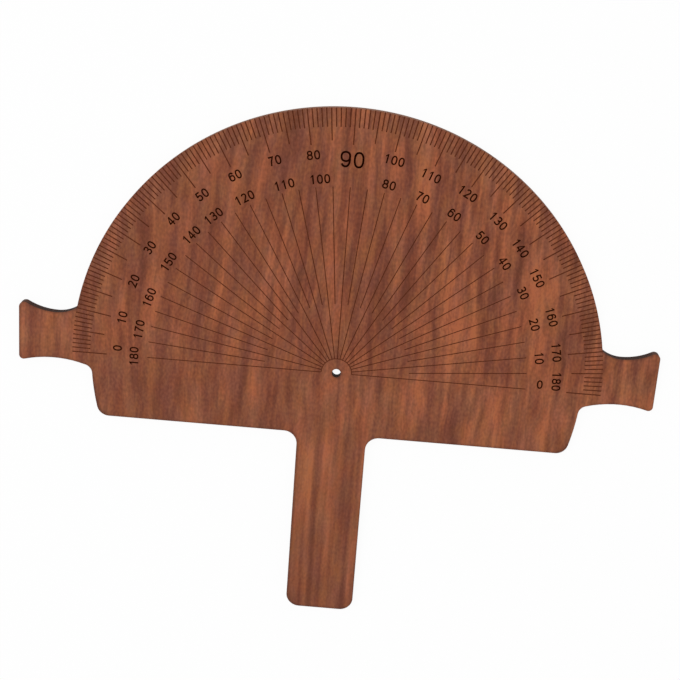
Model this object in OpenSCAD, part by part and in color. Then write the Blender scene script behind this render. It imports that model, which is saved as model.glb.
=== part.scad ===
// Wooden protractor: a half-round board with a grip wing at each end and a long handle.
// The board is three plies glued together, and its scale is cut into the face and filled dark.
// The origin is the centre of the pivot hole on the back face. +Z is the face side.
// +Y points to the 90 degree mark, and the handle runs along -Y.

/* [Plies] */
// Thickness of the middle ply
core_thickness = 1.8; // [1:0.1:6]
// Thickness of the ply that carries the scale
face_thickness = 0.6; // [0.5:0.1:2]
// Thickness of the ply on the back
back_thickness = 0.6; // [0.3:0.1:2]

/* [Half-round plate] */
// Radius of the graduated rim, from the pivot hole
plate_radius = 90; // [75:1:120]
// Diameter of the pivot hole
hole_diameter = 3; // [1.5:0.5:8]
// How far the side walls under the wings stand in from the rim
side_inset = 6.5; // [4:0.5:9]
// Distance from the zero line down to the base edge
base_drop = 22.5; // [18:0.5:35]
// Radius of the two lower corners of the plate
base_corner_radius = 4.2; // [1:0.1:8]

/* [Wings] */
// How far each wing stands out past the rim
wing_length = 18.2; // [14:0.2:20]
// Height of the wing's waist above the zero line
wing_top = 13.4; // [11:0.2:16]
// Distance from the zero line down to the wing's waist
wing_bottom = 2.8; // [1.5:0.1:5]
// Distance from the rim out to the narrowest place of the upper edge
wing_top_waist = 5.5; // [4:0.1:8]
// Distance from the rim out to the narrowest place of the lower edge
wing_bottom_waist = 6.4; // [4:0.1:8]
// Radius of the upper edge from the waist out to the tip
wing_top_outer_radius = 21; // [17:0.1:30]
// Radius of the upper edge from the waist in to the rim
wing_top_inner_radius = 11.5; // [9:0.1:16]
// Radius of the lower edge
wing_bottom_radius = 36.7; // [32:0.1:48]
// Corner radius of the upper tip
upper_tip_radius = 1.8; // [0.5:0.1:3]
// Corner radius of the lower tip
lower_tip_radius = 1.5; // [0.5:0.1:3]
// Radius in the corner between the rim and the wing's upper edge
rim_corner_radius = 1; // [0.4:0.1:2]
// Radius in the corner between the wing's lower edge and the side wall
armpit_radius = 3.2; // [1:0.1:5]

/* [Handle] */
// Width of the handle
handle_width = 23.8; // [12:0.2:50]
// Length of the handle below the base edge
handle_length = 67.5; // [25:0.5:120]
// Radius in the corners between the handle and the base edge
handle_root_radius = 4.6; // [1:0.1:12]
// Radius of the handle's end corners
handle_end_radius = 4.6; // [1:0.1:6]

/* [Cut marks] */
// Depth of every cut line and numeral
mark_depth = 0.3; // [0.2:0.05:0.4]
// How far the dark fill lies below the face
fill_recess = 0.1; // [0.05:0.05:0.15]
// Width of the degree marks
tick_width = 0.38; // [0.2:0.02:0.8]
// Width of the spokes and of the small arc round the hole
spoke_width = 0.3; // [0.2:0.02:0.6]
// Length of a one degree mark, from the rim
one_tick = 6.1; // [2:0.1:8]
// Length of a five degree mark, from the rim
five_tick = 10.5; // [8.4:0.1:12]
// Length of a ten degree mark, from the rim
ten_tick = 11.7; // [8.4:0.1:12]
// Distance from the rim in to the spokes' outer ends
spoke_inset = 25.6; // [25:0.1:32]
// Radius at which the five degree spokes start
five_spoke_start = 24.6; // [10:0.1:35]
// Radius of the small arc round the hole, where the ten degree spokes start
hub_radius = 5.2; // [4.8:0.1:9]

/* [Numerals] */
// Height of the scale's numerals
numeral_height = 3.1; // [2.4:0.05:3.2]
// Width of those numerals' strokes
numeral_stroke = 0.5; // [0.3:0.02:0.52]
// Distance from one of their digits to the next
numeral_pitch = 2.37; // [2.2:0.01:2.5]
// Height of the 90 at the top
big_numeral_height = 5.4; // [4:0.1:6]
// Width of its strokes
big_numeral_stroke = 0.66; // [0.4:0.02:0.8]
// Distance from its 9 to its 0
big_numeral_pitch = 4.35; // [4:0.05:4.6]
// Distance from the rim in to the middle of the outer numerals
outer_numeral_inset = 14.7; // [14:0.1:15.4]
// Distance from the rim in to the middle of the inner numerals
inner_numeral_inset = 22; // [21.4:0.1:22.4]
// Distance from the rim in to the middle of the 90 at the top
big_numeral_inset = 16.5; // [15:0.1:20]

/* [Hidden] */

half_turn = 180;
right_angle = 90;
through = 1; // how far a cut runs past what it cuts
open_rim_slack = 0.5; // degrees: a mark this near a wing's corner still runs out of the edge

// Directions on the plate, in degrees
to_right = 0;
to_top = 90;
to_left = 180;
to_handle = -90;

// Degrees between neighbouring points of a round stretch
rim_step = 1;
wing_step = 4;
corner_step = 9;
digit_step = 18;
hole_facets = 64;

// Heights above the back face
face_z = back_thickness + core_thickness;
top_z = face_z + face_thickness;
mark_z = top_z - mark_depth;
fill_height = mark_depth - fill_recess;

side_radius = plate_radius - side_inset;
wing_end = plate_radius + wing_length;
base_y = -base_drop;
handle_end = base_y - handle_length;
handle_side = handle_width / 2;

// Marks on the scale, in degrees of the outer ring, which has 0 on the left
tens = [0:10:half_turn];
fives = [5:10:half_turn];
singles = [for (a = [0:half_turn]) if (a % 5 != 0) a];

// How far each numeral stands past its own mark, in degrees, and how far in from its ring: they are
// a little uneven on the board
outer_nudges = [
    [1.9, 0.6], [0.4, 0.8], [0.9, 0.7], [0.8, 0], [0.6, 0], [0.3, 0.1], [0, 0.1], [0.6, -0.1],
    [0.3, 0.3], [0, 0], [0.3, -0.3], [0.1, 0.4], [0.2, -0.5], [0.5, -0.1], [-0.5, 0.1], [-1.6, 0.4],
    [-0.5, 0.4], [-0.8, 0.7], [-2.8, 0.7]];
inner_nudges = [
    [0, -1], [-1.8, -0.2], [-1.7, 0.2], [0.4, 0.4], [0.8, 0.6], [-0.8, 0.6], [-0.5, 0.7], [1.3, 1],
    [1.4, 1], [0, 0], [0.7, 0.6], [0.6, 0.7], [0.7, 0.4], [0.9, 0.1], [0.6, -0.1], [0.6, -0.6],
    [0.4, -0.8], [0.4, -0.7], [-1.7, -1.1]];
last_zero_turn = right_angle; // the 0 at the right-hand end of the inner ring lies across its ring

// Digits are drawn 1 high, standing on y = 0, and each path runs along the middle of its stroke.
// $pen is the width of that stroke, which goes with the number's size.
digit_width = 0.64;
digit_mid = digit_width / 2;
bowl_roundness = 0.86; // 1 would make the bowls true ovals, and less makes them squarer
lower_bowl_height = 0.52; // the larger of the two loops of an 8
upper_bowl_narrowing = 0.86; // the smaller loop's width, as a share of the larger one's
function half_pen() = $pen / 2;
function digit_left() = half_pen();
function digit_right() = digit_width - half_pen();
function digit_low() = half_pen();
function digit_high() = 1 - half_pen();
function full_oval() = [digit_mid - half_pen(), 0.5 - half_pen()];
function lower_oval() = [full_oval().x, (lower_bowl_height - half_pen()) / 2];
function lower_bowl() = [digit_mid, digit_low() + lower_oval().y];
function upper_oval() =
    [full_oval().x * upper_bowl_narrowing, (digit_high() - lower_bowl().y - lower_oval().y) / 2];
function upper_bowl() = [digit_mid, digit_high() - upper_oval().y];

board_colour = "#844f3a";
core_colour = "#4a2e20";
line_colour = "#4a2418";
numeral_colour = "#1d1512";

// Direction of a vector, in degrees
function bearing(v) = atan2(v.y, v.x);

// Points along a round stretch, from one angle to another, in steps of at most the given angle
function arc(centre, radius, from, to, step) =
    let (count = max(1, ceil(abs(to - from) / step)))
    [for (i = [0:count]) let (a = from + (to - from) * i / count) centre + radius * [cos(a), sin(a)]];

// The point at distance r1 from c1 and r2 from c2 that lies to the left of the way from c1 to c2
function meet(c1, r1, c2, r2) =
    let (way = c2 - c1, gap = norm(way), along = (r1 * r1 - r2 * r2 + gap * gap) / (2 * gap))
    c1 + (along * way + sqrt(r1 * r1 - along * along) * [-way.y, way.x]) / gap;

// Centres of the outline's round stretches on the right-hand side
hub = [0, 0];
handle_tip = [handle_side - handle_end_radius, handle_end + handle_end_radius];
handle_root = [handle_side + handle_root_radius, base_y - handle_root_radius];
base_corner_y = base_y + base_corner_radius;
base_corner = [sqrt(pow(side_radius - base_corner_radius, 2) - pow(base_corner_y, 2)), base_corner_y];
upper_outer = [plate_radius + wing_top_waist, wing_top + wing_top_outer_radius];
upper_inner = [plate_radius + wing_top_waist, wing_top + wing_top_inner_radius];
lower_bend = [plate_radius + wing_bottom_waist, -wing_bottom - wing_bottom_radius];
rim_corner = meet(upper_inner, wing_top_inner_radius - rim_corner_radius,
    hub, plate_radius + rim_corner_radius);
armpit = meet(hub, side_radius + armpit_radius, lower_bend, wing_bottom_radius - armpit_radius);
upper_tip_x = wing_end - upper_tip_radius;
upper_tip_reach = wing_top_outer_radius + upper_tip_radius;
upper_tip_fall = sqrt(pow(upper_tip_reach, 2) - pow(upper_tip_x - upper_outer.x, 2));
upper_tip = [upper_tip_x, upper_outer.y - upper_tip_fall];
lower_tip_x = wing_end - lower_tip_radius;
lower_tip_reach = wing_bottom_radius + lower_tip_radius;
lower_tip_rise = sqrt(pow(lower_tip_reach, 2) - pow(lower_tip_x - lower_bend.x, 2));
lower_tip = [lower_tip_x, lower_bend.y + lower_tip_rise];

// Where those stretches meet, as directions from their centres
base_corner_turn = bearing(base_corner);
armpit_turn = bearing(armpit);
armpit_to_wing = bearing(armpit - lower_bend);
wing_to_lower_tip = bearing(lower_tip - lower_bend);
wing_to_upper_tip = bearing(upper_tip - upper_outer);
wing_to_rim = bearing(rim_corner - upper_inner);
rim_start = bearing(rim_corner);

// The right-hand half of the outline, from the end of the handle round to the 90 degree mark
right_half = concat(
    arc(handle_tip, handle_end_radius, to_handle, to_right, corner_step),
    arc(handle_root, handle_root_radius, to_left, to_top, corner_step),
    arc(base_corner, base_corner_radius, to_handle, base_corner_turn, corner_step),
    arc(hub, side_radius, base_corner_turn, armpit_turn, rim_step),
    arc(armpit, armpit_radius, armpit_turn + half_turn, armpit_to_wing, corner_step),
    arc(lower_bend, wing_bottom_radius, armpit_to_wing, wing_to_lower_tip, wing_step),
    arc(lower_tip, lower_tip_radius, wing_to_lower_tip - half_turn, to_right, corner_step),
    arc(upper_tip, upper_tip_radius, to_right, wing_to_upper_tip + half_turn, corner_step),
    arc(upper_outer, wing_top_outer_radius, wing_to_upper_tip, to_handle, wing_step),
    arc(upper_inner, wing_top_inner_radius, to_handle, wing_to_rim, wing_step),
    arc(rim_corner, rim_corner_radius, wing_to_rim, rim_start - half_turn, corner_step),
    arc(hub, plate_radius, rim_start, to_top, rim_step)
);

// The whole outline: the left-hand half is the right-hand one mirrored and taken back the other way
outline = concat(right_half, [for (i = [len(right_half) - 2:-1:0]) [-right_half[i].x, right_half[i].y]]);

// A mark from this angle on runs out of the open edge, and one below it ends in a wing
open_rim = rim_start - open_rim_slack;

module ply(z, thickness) {
    translate([0, 0, z]) linear_extrude(thickness) polygon(outline);
}

module hole_cut() {
    translate([0, 0, -through]) cylinder(h = top_z + 2 * through, d = hole_diameter, $fn = hole_facets);
}

// Turns its children to an angle of the outer scale, which has 0 on the left and 90 at the top
module at_angle(angle) {
    rotate(right_angle - angle) children();
}

// Radial lines at a list of angles, from one radius to another
module rays(angles, from, to, width) {
    for (angle = angles) at_angle(angle) translate([-width / 2, from]) square([width, to - from]);
}

// Normal of the way from one point to the next, on its left
function normal(a, b) = let (way = b - a) [-way.y, way.x] / norm(way);

// A path moved sideways, with its corners kept sharp
function shifted(path, by, closed) =
    let (last = len(path) - 1)
    [for (i = [0:last]) let (
        before = i > 0 ? path[i - 1] : (closed ? path[last] : 2 * path[0] - path[1]),
        after = i < last ? path[i + 1] : (closed ? path[0] : 2 * path[last] - path[last - 1]),
        n1 = normal(before, path[i]),
        n2 = normal(path[i], after))
        path[i] + by * (n1 + n2) / (1 + n1 * n2)];

// A stroke of even width along a path
module stroke(path, closed = false) {
    left_side = shifted(path, half_pen(), closed);
    right_side = shifted(path, -half_pen(), closed);
    last = len(path) - 1;
    if (closed) {
        outer_loop = [for (i = [0:last]) i];
        inner_loop = [for (i = [0:last]) last + 1 + i];
        polygon(concat(left_side, right_side), paths = [outer_loop, inner_loop]);
    } else {
        polygon(concat(left_side, [for (i = [last:-1:0]) right_side[i]]));
    }
}

function squarer(share) = sign(share) * pow(abs(share), bowl_roundness);

// Points along a slightly squared oval, from one angle to another
function oval(centre, half, from, to) =
    let (count = ceil(abs(to - from) / digit_step))
    [for (i = [0:count]) let (a = from + (to - from) * i / count)
        centre + [half.x * squarer(cos(a)), half.y * squarer(sin(a))]];

function ring(centre, half) = oval(centre, half, 0, 2 * half_turn - digit_step);

module digit_0() {
    stroke(ring([digit_mid, 0.5], full_oval()), true);
}

module digit_1() {
    stem_right = 0.44;
    stem_left = stem_right - $pen;
    top_left = stem_right - 0.7 * $pen;
    flag_left = 0.12;
    flag_high = 0.8;
    polygon([[stem_right, 0], [stem_right, 1], [top_left, 1], [flag_left, flag_high],
        [flag_left, flag_high - $pen], [stem_left, flag_high], [stem_left, 0]]);
}

module digit_2() {
    bowl_start = 170;
    bowl_end = -35;
    foot_left = 0.14;
    stroke(concat(oval(upper_bowl(), upper_oval(), bowl_start, bowl_end),
        [[foot_left, digit_low()], [digit_width, digit_low()]]));
}

module digit_3() {
    bowl_start = 160;
    bowl_end = -160;
    waist_length = 0.08;
    waist = upper_bowl() - [waist_length, upper_oval().y];
    stroke(concat(oval(upper_bowl(), upper_oval(), bowl_start, to_handle), [waist]));
    stroke(concat([waist], oval(lower_bowl(), lower_oval(), to_top, bowl_end)));
}

module digit_4() {
    stem_right = 0.5;
    stem_left = stem_right - $pen;
    top_left = stem_right - 0.9 * $pen;
    bar_low = 0.23;
    bar_high = bar_low + $pen;
    bar_past_stem = 0.13;
    window_high = 0.8;
    difference() {
        polygon([[stem_right, 0], [stem_right, 1], [top_left, 1], [0, bar_high], [0, bar_low],
            [stem_left, bar_low], [stem_left, 0]]);
        polygon([[stem_left, bar_high], [stem_left, window_high], [$pen, bar_high]]);
    }
    translate([stem_left, bar_low]) square([$pen + bar_past_stem, $pen]);
}

module digit_5() {
    bowl = [digit_mid, 0.33];
    bowl_start = 150;
    bowl_end = -160;
    back_top = [0.17, digit_high()];
    back_foot = [0.11, 0.5];
    stroke([[digit_right(), digit_high()], back_top, back_foot]);
    stroke(oval(bowl, [full_oval().x, bowl.y - half_pen()], bowl_start, bowl_end));
}

module digit_6() {
    loop_growth = [0, 0.05];
    back_start = 35;
    back_end = 200;
    stroke(ring(lower_bowl() + loop_growth, lower_oval() + loop_growth), true);
    stroke(oval([digit_mid, 0.5], full_oval(), back_start, back_end));
}

module digit_7() {
    bend = [0.36, 0.5];
    foot = [0.25, 0];
    stroke([[digit_left(), digit_high()], [digit_right(), digit_high()], bend, foot]);
}

module digit_8() {
    stroke(ring(upper_bowl(), upper_oval()), true);
    stroke(ring(lower_bowl(), lower_oval()), true);
}

module digit_9() {
    translate([digit_width, 1]) rotate(half_turn) digit_6();
}

module digit(value) {
    if (value == 0) digit_0();
    if (value == 1) digit_1();
    if (value == 2) digit_2();
    if (value == 3) digit_3();
    if (value == 4) digit_4();
    if (value == 5) digit_5();
    if (value == 6) digit_6();
    if (value == 7) digit_7();
    if (value == 8) digit_8();
    if (value == 9) digit_9();
}

function digits(value) = value < 10 ? [value] : concat(digits(floor(value / 10)), [value % 10]);

// A number centred on the origin, with its digits upright
module number(value, height, stroke, pitch) {
    $pen = stroke / height;
    list = digits(value);
    for (i = [0:len(list) - 1]) translate([(i - (len(list) - 1) / 2) * pitch, 0])
        scale(height) translate([-digit_mid, -0.5]) digit(list[i]);
}

// Puts its children on the scale, with their top facing outwards, and turns them there
module on_scale(angle, inset, turn = 0) {
    at_angle(angle) translate([0, plate_radius - inset]) rotate(turn) children();
}

module small_number(value) {
    number(value, numeral_height, numeral_stroke, numeral_pitch);
}

function runs_out(angle) = angle > open_rim && angle < half_turn - open_rim;

// Each of these draws one kind of mark flat. On the open rim a cut runs past the edge, by over.
module ticks(angles, length, over) {
    rays([for (a = angles) if (runs_out(a)) a], plate_radius - length, plate_radius + over, tick_width);
    rays([for (a = angles) if (!runs_out(a)) a], plate_radius - length, plate_radius, tick_width);
}

module single_marks(over) {
    ticks(singles, one_tick, over);
}

module five_marks(over) {
    ticks(fives, five_tick, over);
}

module ten_marks(over) {
    ticks(tens, ten_tick, over);
}

module five_spokes() {
    rays(fives, five_spoke_start, plate_radius - spoke_inset, spoke_width);
}

module ten_spokes() {
    rays(tens, hub_radius, plate_radius - spoke_inset, spoke_width);
    polygon(concat(arc(hub, hub_radius + spoke_width / 2, 0, half_turn, corner_step),
        arc(hub, hub_radius - spoke_width / 2, half_turn, 0, corner_step)));
}

module outer_ring() {
    for (a = tens) if (a != right_angle) {
        nudge = outer_nudges[a / 10];
        on_scale(a + nudge.x, outer_numeral_inset + nudge.y) small_number(a);
    }
}

module inner_ring() {
    for (a = tens) if (a != right_angle) {
        nudge = inner_nudges[a / 10];
        turn = a == half_turn ? last_zero_turn : 0;
        on_scale(a + nudge.x, inner_numeral_inset + nudge.y, turn) small_number(half_turn - a);
    }
}

module top_number() {
    on_scale(right_angle, big_numeral_inset)
        number(right_angle, big_numeral_height, big_numeral_stroke, big_numeral_pitch);
}

// The dark fill of one kind of mark
module fill(colour) {
    color(colour) translate([0, 0, mark_z]) linear_extrude(fill_height) children();
}

module cut() {
    translate([0, 0, mark_z]) linear_extrude(mark_depth + through) children();
}

module core_board() {
    color(core_colour) difference() {
        ply(back_thickness, core_thickness);
        hole_cut();
    }
}

module face_veneer() {
    color(board_colour) difference() {
        ply(face_z, face_thickness);
        hole_cut();
        cut() single_marks(through);
        cut() five_marks(through);
        cut() ten_marks(through);
        cut() five_spokes();
        cut() ten_spokes();
        cut() outer_ring();
        cut() inner_ring();
        cut() top_number();
    }
}

module back_veneer() {
    color(board_colour) difference() {
        ply(0, back_thickness);
        hole_cut();
    }
}

module degree_marks() fill(line_colour) single_marks(0);
module five_degree_marks() fill(line_colour) five_marks(0);
module ten_degree_marks() fill(line_colour) ten_marks(0);
module five_degree_spokes() fill(line_colour) five_spokes();
module ten_degree_spokes() fill(line_colour) ten_spokes();
module outer_numerals() fill(numeral_colour) outer_ring();
module inner_numerals() fill(numeral_colour) inner_ring();
module right_angle_numeral() fill(numeral_colour) top_number();

core_board();
face_veneer();
back_veneer();
degree_marks();
five_degree_marks();
ten_degree_marks();
five_degree_spokes();
ten_degree_spokes();
outer_numerals();
inner_numerals();
right_angle_numeral();
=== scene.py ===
# Wooden protractor: a flat half-round board that lies face up on a white table.
# Places are in metres, as in the solid model. The finishes work in millimetres on the board:
# x to the right-hand wing, y from the pivot hole to the 90 mark, z up out of the face.
import math

import bpy
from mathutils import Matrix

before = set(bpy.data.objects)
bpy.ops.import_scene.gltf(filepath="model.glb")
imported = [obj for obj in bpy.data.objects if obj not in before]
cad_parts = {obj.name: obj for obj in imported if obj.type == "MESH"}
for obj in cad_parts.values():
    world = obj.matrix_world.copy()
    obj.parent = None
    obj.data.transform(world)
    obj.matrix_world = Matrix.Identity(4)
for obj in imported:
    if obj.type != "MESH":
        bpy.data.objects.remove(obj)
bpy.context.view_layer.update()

MILLIMETRES = 1000  # in a metre

# Sizes of the board, in millimetres
RIM_RADIUS = 90
SIDE_RADIUS = 83.5
BASE_DROP = 22.5
BASE_CORNER = 4.2
HANDLE_HALF_WIDTH = 11.9
HANDLE_END = 90
HANDLE_CORNER = 4.6
HANDLE_ROOT = 4.6
WING_END = 108.2
UPPER_TIP = 1.8
LOWER_TIP = 1.5
ARMPIT = 3.2
RIM_CORNER = 1
WAIST_TOP_X = 95.5
TOP_OUTER_Y, TOP_OUTER_RADIUS = 34.4, 21
TOP_INNER_Y, TOP_INNER_RADIUS = 24.9, 11.5
UNDERSIDE_X, UNDERSIDE_Y, UNDERSIDE_RADIUS = 96.4, -39.5, 36.7
HOLE_RADIUS = 1.5

# Each shape of the outline runs a little way into its neighbour, up to here, in millimetres
RIM_FROM_Y = 8
HANDLE_UP_TO_Y = -10
WING_UP_TO_Y = 20
WING_FROM_X = 70


def paint(red, green, blue):
    """A colour as it is read off a colour chart, 0 to 255, turned into the light that a shader wants."""
    def light(part):
        part = part / 255
        return part / 12.92 if part <= 0.04045 else ((part + 0.055) / 1.055) ** 2.4
    return light(red), light(green), light(blue), 1


class Value:
    """Something that varies over a surface. Arithmetic on it adds Math nodes."""

    def __init__(self, recipe, socket):
        self.recipe = recipe
        self.socket = socket

    def math(self, operation, *values):
        return self.recipe.node("ShaderNodeMath", {"operation": operation}, dict(enumerate(values)))

    def __add__(self, other):
        return self.math("ADD", self, other)

    def __sub__(self, other):
        return self.math("SUBTRACT", self, other)

    def __rsub__(self, other):
        return self.math("SUBTRACT", other, self)

    def __mul__(self, other):
        return self.math("MULTIPLY", self, other)

    def __truediv__(self, other):
        return self.math("DIVIDE", self, other)

    def __abs__(self):
        return self.math("ABSOLUTE", self)

    __radd__ = __add__
    __rmul__ = __mul__

    def least(self, other, blend=0):
        """The smaller of two values, rounded off over blend where they meet."""
        if blend:
            return self.math("SMOOTH_MIN", self, other, blend)
        return self.math("MINIMUM", self, other)

    def most(self, other, blend=0):
        """The larger of two values, rounded off over blend where they meet."""
        if blend:
            return self.math("SMOOTH_MAX", self, other, blend)
        return self.math("MAXIMUM", self, other)

    def over(self, limit):
        """1 where the value is over the limit, and 0 elsewhere."""
        return self.math("GREATER_THAN", self, limit)

    def ease(self, start, end):
        """0 up to start, 1 from end on, and a soft rise between them."""
        return self.recipe.node(
            "ShaderNodeMapRange", {"interpolation_type": "SMOOTHSTEP"},
            {"Value": self, "From Min": start, "From Max": end, "To Min": 0, "To Max": 1})


class Recipe:
    """The node tree of a finish, of the table or of the sky."""

    def __init__(self, owner):
        owner.use_nodes = True
        self.tree = owner.node_tree
        self.tree.nodes.clear()

    def node(self, kind, settings, inputs, output=0):
        """Adds a node, sets it up, feeds its sockets, and returns one of its outputs."""
        node = self.tree.nodes.new(kind)
        for name, value in settings.items():
            if name == "stops":
                elements = node.color_ramp.elements
                while len(elements) < len(value):
                    elements.new(1)
                for element, (position, colour) in zip(elements, value):
                    element.position = position
                    element.color = colour
            else:
                setattr(node, name, value)
        for socket, value in inputs.items():
            if isinstance(value, Value):
                self.tree.links.new(value.socket, node.inputs[socket])
            else:
                node.inputs[socket].default_value = value
        return Value(self, node.outputs[output]) if len(node.outputs) else None

    def parts(self, vector):
        """The x, y and z of a vector."""
        split = self.node("ShaderNodeSeparateXYZ", {}, {0: vector})
        return [Value(self, socket) for socket in split.socket.node.outputs]

    def point(self, x, y, z=0):
        return self.node("ShaderNodeCombineXYZ", {}, {0: x, 1: y, 2: z})

    def noise(self, x, y, z, detail=0, roughness=0.5):
        """Cloudy noise about 0, with one cloud to a unit."""
        cloud = self.node(
            "ShaderNodeTexNoise", {"noise_dimensions": "3D"},
            {"Vector": self.point(x, y, z), "Scale": 1, "Detail": detail, "Roughness": roughness})
        return cloud - 0.5

    def ramp(self, value, stops):
        return self.node("ShaderNodeValToRGB", {"stops": stops}, {0: value})

    def blend(self, share, under, over, how="MIX"):
        """One colour over another."""
        return self.node(
            "ShaderNodeMix", {"data_type": "RGBA", "blend_type": how},
            {0: share, 6: under, 7: over}, output=2)

    def grey(self, value):
        return self.node("ShaderNodeCombineColor", {}, {0: value, 1: value, 2: value})

    def place(self):
        """Where a point of the surface lies on the board, in millimetres."""
        metres = self.node("ShaderNodeTexCoord", {}, {}, output="Object")
        return self.parts(self.node(
            "ShaderNodeVectorMath", {"operation": "SCALE"}, {0: metres, "Scale": MILLIMETRES}))

    def upright(self):
        """1 on a wall of the board, and 0 on its flat faces."""
        facing = self.node("ShaderNodeTexCoord", {}, {}, output="Normal")
        return 1 - abs(self.parts(facing)[2]).ease(0.3, 0.7)

    def shader(self, **inputs):
        """The finish's shader. Names of sockets are written with _ for a space."""
        sockets = {name.replace("_", " "): value for name, value in inputs.items()}
        return self.node("ShaderNodeBsdfPrincipled", {}, sockets)

    def relief(self, height, depth):
        """A height from 0 to 1 pressed into the surface, depth metres deep."""
        return self.node("ShaderNodeBump", {}, {"Strength": 1, "Distance": depth, "Height": height})

    def done(self, shader, kind="ShaderNodeOutputMaterial"):
        self.node(kind, {}, {"Surface": shader})


def distance(recipe, x, y, centre_x, centre_y):
    """How far a point lies from a centre, seen from above."""
    offset = recipe.point(x - centre_x, y - centre_y)
    return recipe.node("ShaderNodeVectorMath", {"operation": "LENGTH"}, {0: offset}, output="Value")


def fillet(radius):
    """The blend that rounds a square corner off at about this radius."""
    return 1.76 * radius


def inset(recipe, x, y):
    """How far a point of the face lies in from the cut edge, in millimetres."""
    across = abs(x)
    out = distance(recipe, x, y, 0, 0)
    dome = (RIM_RADIUS - out).least(y - RIM_FROM_Y)
    plate = (SIDE_RADIUS - out).least(y + BASE_DROP, fillet(BASE_CORNER))
    handle = (HANDLE_HALF_WIDTH - across).least(y + HANDLE_END, fillet(HANDLE_CORNER))
    handle = handle.least(HANDLE_UP_TO_Y - y)
    top_outer = distance(recipe, across, y, WAIST_TOP_X, TOP_OUTER_Y) - TOP_OUTER_RADIUS
    top_inner = distance(recipe, across, y, WAIST_TOP_X, TOP_INNER_Y) - TOP_INNER_RADIUS
    past_waist = across.over(WAIST_TOP_X)
    top = top_outer * past_waist + top_inner * (1 - past_waist)
    underside = distance(recipe, across, y, UNDERSIDE_X, UNDERSIDE_Y) - UNDERSIDE_RADIUS
    end = WING_END - across
    wing = end.least(top, fillet(UPPER_TIP)).least(underside, fillet(LOWER_TIP))
    wing = wing.least(WING_UP_TO_Y - y).least(across - WING_FROM_X)
    body = plate.most(handle, fillet(HANDLE_ROOT)).most(wing, fillet(ARMPIT))
    return body.most(dome, fillet(RIM_CORNER)).least(out - HOLE_RADIUS)


# The veneer's brown, from its darkest streaks to its palest ones
FIGURE = [
    (0.0, paint(102, 53, 30)),
    (0.15, paint(111, 59, 35)),
    (0.28, paint(117, 64, 39)),
    (0.38, paint(124, 69, 41)),
    (0.5, paint(131, 75, 45)),
    (0.62, paint(138, 80, 47)),
    (0.72, paint(146, 84, 51)),
    (0.85, paint(154, 90, 54)),
    (1.0, paint(164, 96, 57)),
]
MAUVE = (0.94, 1.07, 1.36, 1)  # what a mauve patch makes of the brown
RUDDY = (1.03, 0.91, 1.05, 1)  # what a ruddy patch makes of it
PORE = paint(88, 46, 30)
# Painted shade laid on the face along its cut edge
EDGE_SHADE = paint(58, 32, 24)
CHAR = paint(34, 20, 15)
PALE_CHAR = paint(66, 39, 29)
# The paler brown of the cut edge round the graduated rim
RIM_WALL = paint(114, 76, 59)
PALE_RIM_WALL = paint(150, 104, 81)
PORE_DEPTH = 0.00003  # how deep the wood's pores are, in metres
ASH_DEPTH = 0.00004  # how rough the floor of a burnt cut is, in metres
SATIN = 0.15  # how strongly bare wood mirrors, where 0.5 is varnish
EDGE_SHADE_REACH = 1.05  # how far in from the cut the painted edge shade reaches over the face, in millimetres
EDGE_SHADE_SHIFT = 0.2  # how far the painted edge shade is shifted towards the left-hand wing, in millimetres


def figure(recipe, x, y, sheet):
    """The wood's figure on one sheet of veneer: its tone, its two blushes, its fibres and its pores.

    What changes across the board eases in between two places on it, in millimetres.
    """
    on_plate = y.ease(-32, -10)  # 0 on the handle
    on_right = x.ease(-20, 40)
    above_zero = y.ease(-8, 12)
    under_marks = distance(recipe, x, y, 0, 0).ease(79, 84) * y.ease(-2, 4)
    upper = above_zero - under_marks * 1.2

    # The grain leans a little on either side of the plate, and wanders more there than on the handle
    lean = y.most(0, 30) * (x.ease(-75, -45) * (1 - x.ease(-20, 10)) * 0.07 - x.ease(20, 60) * 0.05)
    wander = recipe.noise(x / 40, y / 50, sheet, detail=1) * (1.5 + on_plate * 2.5)
    ripple = recipe.noise(x / 5, y / 12, sheet + 37, detail=1) * (0.6 + on_plate * 1.1)
    across = x - lean + wander + ripple

    def strips(width, length, step, **kind):
        """Noise in strips along the grain, so wide and long in millimetres."""
        return recipe.noise(across / width, y / length, sheet + step, **kind)

    band = strips(12, 60, 3, detail=1)
    streak = strips(3.4, 120, 7, detail=2)
    flame = strips(4.4, 55, 121, detail=3, roughness=0.6)
    fleck = recipe.noise(across / 2.4 - y / 60, y / 14, sheet + 11, detail=1)
    fibre = strips(0.8, 14, 17, detail=1)
    speckle = recipe.noise(x / 0.7, y / 1.2, sheet + 29)

    # The handle has long straight streaks, and the plate has flames that are livelier on the right
    lively = 1 + on_plate * (on_right * 0.33 - 0.15) + above_zero * 0.12
    tone = band * (1.2 - on_plate * 0.75) + streak * (2.1 - on_plate * 2.1) + flame * on_plate * 1.95
    tone = (tone + fleck * (0.5 + on_plate * 0.3)) * lively + fibre * 0.3
    tone = tone + speckle * (0.4 + on_plate * 0.15)

    # The middle tone of each region, which is palest on the wings
    tone = tone + 0.39 + on_plate * 0.1 - upper * 0.02
    tone = tone + on_right * (on_plate * 0.12 - above_zero * 0.06)
    tone = tone + abs(x).ease(86, 98) * 0.07

    mauve = strips(5, 13, 19, detail=3, roughness=0.6) * 2.6 + 0.54 - (tone - 0.5) * 0.3 - upper * 0.16
    ruddy = strips(6, 16, 31, detail=3, roughness=0.6) * 2.6 + 0.5 + upper * 0.14
    pore = strips(0.24, 3.4, 23).ease(0.17, 0.27)
    return tone, mauve, ruddy, fibre + 0.5, pore


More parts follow.
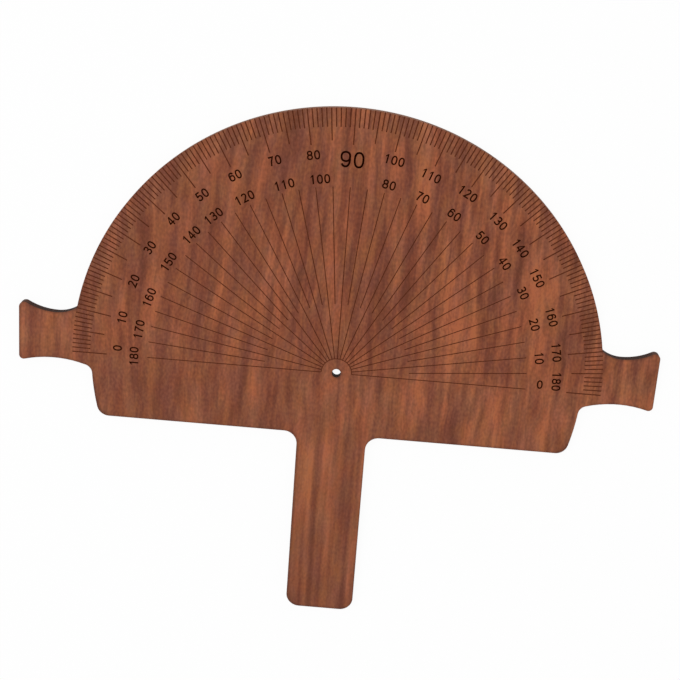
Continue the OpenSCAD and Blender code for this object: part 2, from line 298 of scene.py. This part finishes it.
def veneer(name, sheet):
    """Satin red-brown veneer, with its grain along the handle and painted shade darkening the face along
    its cut edge.
    """
    material = bpy.data.materials.new(name)
    recipe = Recipe(material)
    x, y, z = recipe.place()
    tone, mauve, ruddy, fibre, pore = figure(recipe, x, y, sheet)
    wood = recipe.ramp(tone, FIGURE)
    wood = recipe.blend(mauve.ease(0, 1), wood, MAUVE, "MULTIPLY")
    wood = recipe.blend(ruddy.ease(0, 1), wood, RUDDY, "MULTIPLY")
    wood = recipe.blend(pore * 0.15, wood, PORE)
    on_rim = graduated_rim(recipe, x, y)
    # Painted shade: the face darkens towards the cut edge, faintly round the graduated rim and more on
    # the wings, sides and handle
    edge_shade = (1 - inset(recipe, x - EDGE_SHADE_SHIFT, y).ease(-0.4, EDGE_SHADE_REACH)) * (0.55 - on_rim * 0.45)
    wood = recipe.blend(edge_shade, wood, EDGE_SHADE)
    wall = edge_char(recipe, x, y, z, on_rim)
    upright = recipe.upright()
    colour = recipe.blend(upright, wood, wall)
    roughness = 0.42 + fibre * 0.12 + upright * 0.3
    bump = recipe.relief(fibre * 0.5 + (1 - pore) * 0.5, PORE_DEPTH)
    recipe.done(recipe.shader(
        Base_Color=colour, Roughness=roughness, Normal=bump, Specular_IOR_Level=SATIN))
    return material


def graduated_rim(recipe, x, y):
    """1 along the rim that carries the degree marks, and 0 on the wings, the sides and the handle."""
    out = distance(recipe, x, y, 0, 0)
    return out.ease(RIM_RADIUS - 1.6, RIM_RADIUS - 0.9) * y.ease(15, 19)


def edge_char(recipe, x, y, z, on_rim):
    """The cut edge: charred dark, and a paler brown round the graduated rim."""
    flutes = recipe.noise(x / 0.35, y / 0.35, z / 9, detail=1)
    layers = recipe.noise(x / 14, y / 14, z / 0.35, detail=1)
    charred = recipe.ramp(0.5 + flutes * 1.1 + layers * 0.7, [(0.2, CHAR), (0.85, PALE_CHAR)])
    rim_wall = recipe.ramp(0.5 + flutes * 0.9 + layers * 1.2, [(0.15, RIM_WALL), (0.9, PALE_RIM_WALL)])
    return recipe.blend(on_rim, charred, rim_wall)


def core(name):
    """The middle ply, of which only the cut edge shows."""
    material = bpy.data.materials.new(name)
    recipe = Recipe(material)
    x, y, z = recipe.place()
    wall = edge_char(recipe, x, y, z, graduated_rim(recipe, x, y))
    recipe.done(recipe.shader(Base_Color=wall, Roughness=0.75, Specular_IOR_Level=SATIN))
    return material


def burnt_fill(name, dark, pale):
    """The dark floor of a cut line or a numeral, a little uneven along its length."""
    material = bpy.data.materials.new(name)
    recipe = Recipe(material)
    x, y, z = recipe.place()
    patches = recipe.noise(x / 2.3, y / 2.3, z, detail=2)
    grain = recipe.noise(x / 0.3, y / 2, z, detail=1)
    colour = recipe.ramp(0.5 + patches * 1.2 + grain * 0.8, [(0.15, dark), (0.9, pale)])
    recipe.done(recipe.shader(
        Base_Color=colour, Roughness=0.8 + grain * 0.2, Specular_IOR_Level=0,
        Normal=recipe.relief(grain + 0.5, ASH_DEPTH)))
    return material


LINES = (
    "degree_marks", "five_degree_marks", "ten_degree_marks", "five_degree_spokes", "ten_degree_spokes")
NUMERAL_RINGS = ("outer_numerals", "inner_numerals")


def give(node, material):
    """Puts a finish on a piece of the board."""
    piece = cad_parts[node]
    piece.data.materials.clear()
    piece.data.materials.append(material)


def finish_board():
    give("face_veneer", veneer("satin_face_veneer", sheet=33))
    give("back_veneer", veneer("satin_back_veneer", sheet=71))
    give("core_board", core("charred_core"))
    line = burnt_fill("burnt_line", paint(80, 36, 20), paint(106, 55, 35))
    numeral = burnt_fill("burnt_numeral", paint(30, 6, 0), paint(52, 18, 4))
    large_numeral = burnt_fill("burnt_large_numeral", paint(12, 0, 0), paint(34, 6, 0))
    for node in LINES:
        give(node, line)
    for node in NUMERAL_RINGS:
        give(node, numeral)
    give("right_angle_numeral", large_numeral)


TABLE_HALF = 6  # half the table's width, in metres
TABLE_DROP = 0.0002  # how far the table top lies below the board, in metres
TABLE_WHITENESS = 0.94  # how much of the table's look is plain white, and not its own paint


def seen_directly(recipe):
    """1 where the table or the sky is seen by the camera, or in a mirror or glass."""
    path = recipe.node("ShaderNodeLightPath", {}, {}).socket.node.outputs
    direct = Value(recipe, path["Is Camera Ray"])
    mirrored = Value(recipe, path["Is Glossy Ray"]).most(Value(recipe, path["Is Transmission Ray"]))
    return direct.most(mirrored)


def lay_table():
    """A white table top, wide enough to fill the view, that keeps a faint shadow of the board."""
    mesh = bpy.data.meshes.new("table_top")
    corners = [(x * TABLE_HALF, y * TABLE_HALF, 0) for x, y in ((-1, -1), (1, -1), (1, 1), (-1, 1))]
    mesh.from_pydata(corners, [], [(0, 1, 2, 3)])
    table = bpy.data.objects.new("table_top", mesh)
    table.location.z = -TABLE_DROP
    bpy.context.scene.collection.objects.link(table)
    material = bpy.data.materials.new("white_table")
    recipe = Recipe(material)
    x, y, z = recipe.place()
    mottle = recipe.noise(x / 90, y / 90, z, detail=2)
    matt = recipe.shader(Base_Color=recipe.grey(0.9 + mottle * 0.02), Roughness=1, Specular_IOR_Level=0)
    white = recipe.node("ShaderNodeEmission", {}, {"Color": (1, 1, 1, 1), "Strength": 1})
    share = seen_directly(recipe) * TABLE_WHITENESS
    recipe.done(recipe.node("ShaderNodeMixShader", {}, {0: share, 1: matt, 2: white}))
    table.data.materials.append(material)


def light_studio():
    """An even white sky and one wide lamp, high on the left behind the camera."""
    world = bpy.data.worlds.new("soft_sky")
    bpy.context.scene.world = world
    recipe = Recipe(world)
    strength = seen_directly(recipe) * 0.3 + 0.7
    sky = recipe.node("ShaderNodeBackground", {}, {"Color": (1, 1, 1, 1), "Strength": strength})
    recipe.done(sky, "ShaderNodeOutputWorld")
    lamp = bpy.data.lights.new("wide_lamp", "AREA")
    lamp.shape = "DISK"
    lamp.size = 1.4
    lamp.energy = 11
    holder = bpy.data.objects.new("wide_lamp", lamp)
    holder.location = (-0.7, 0.5, 1.5)
    holder.rotation_euler = (math.radians(-18), math.radians(-24), 0)
    bpy.context.scene.collection.objects.link(holder)


def set_camera():
    """The camera stands over the curved edge and looks down past the pivot hole."""
    camera = bpy.data.cameras.new("camera")
    camera.sensor_width = 36
    camera.lens = 72.777
    camera.shift_x = -0.039
    holder = bpy.data.objects.new("camera", camera)
    holder.location = (0.0113, 0.15984, 0.44165)
    holder.rotation_euler = [math.radians(turn) for turn in (-18.457, 1.753, 4.462)]
    bpy.context.scene.collection.objects.link(holder)
    bpy.context.scene.camera = holder


set_camera()
finish_board()
lay_table()
light_studio()
bpy.context.scene.view_settings.view_transform = "Standard"
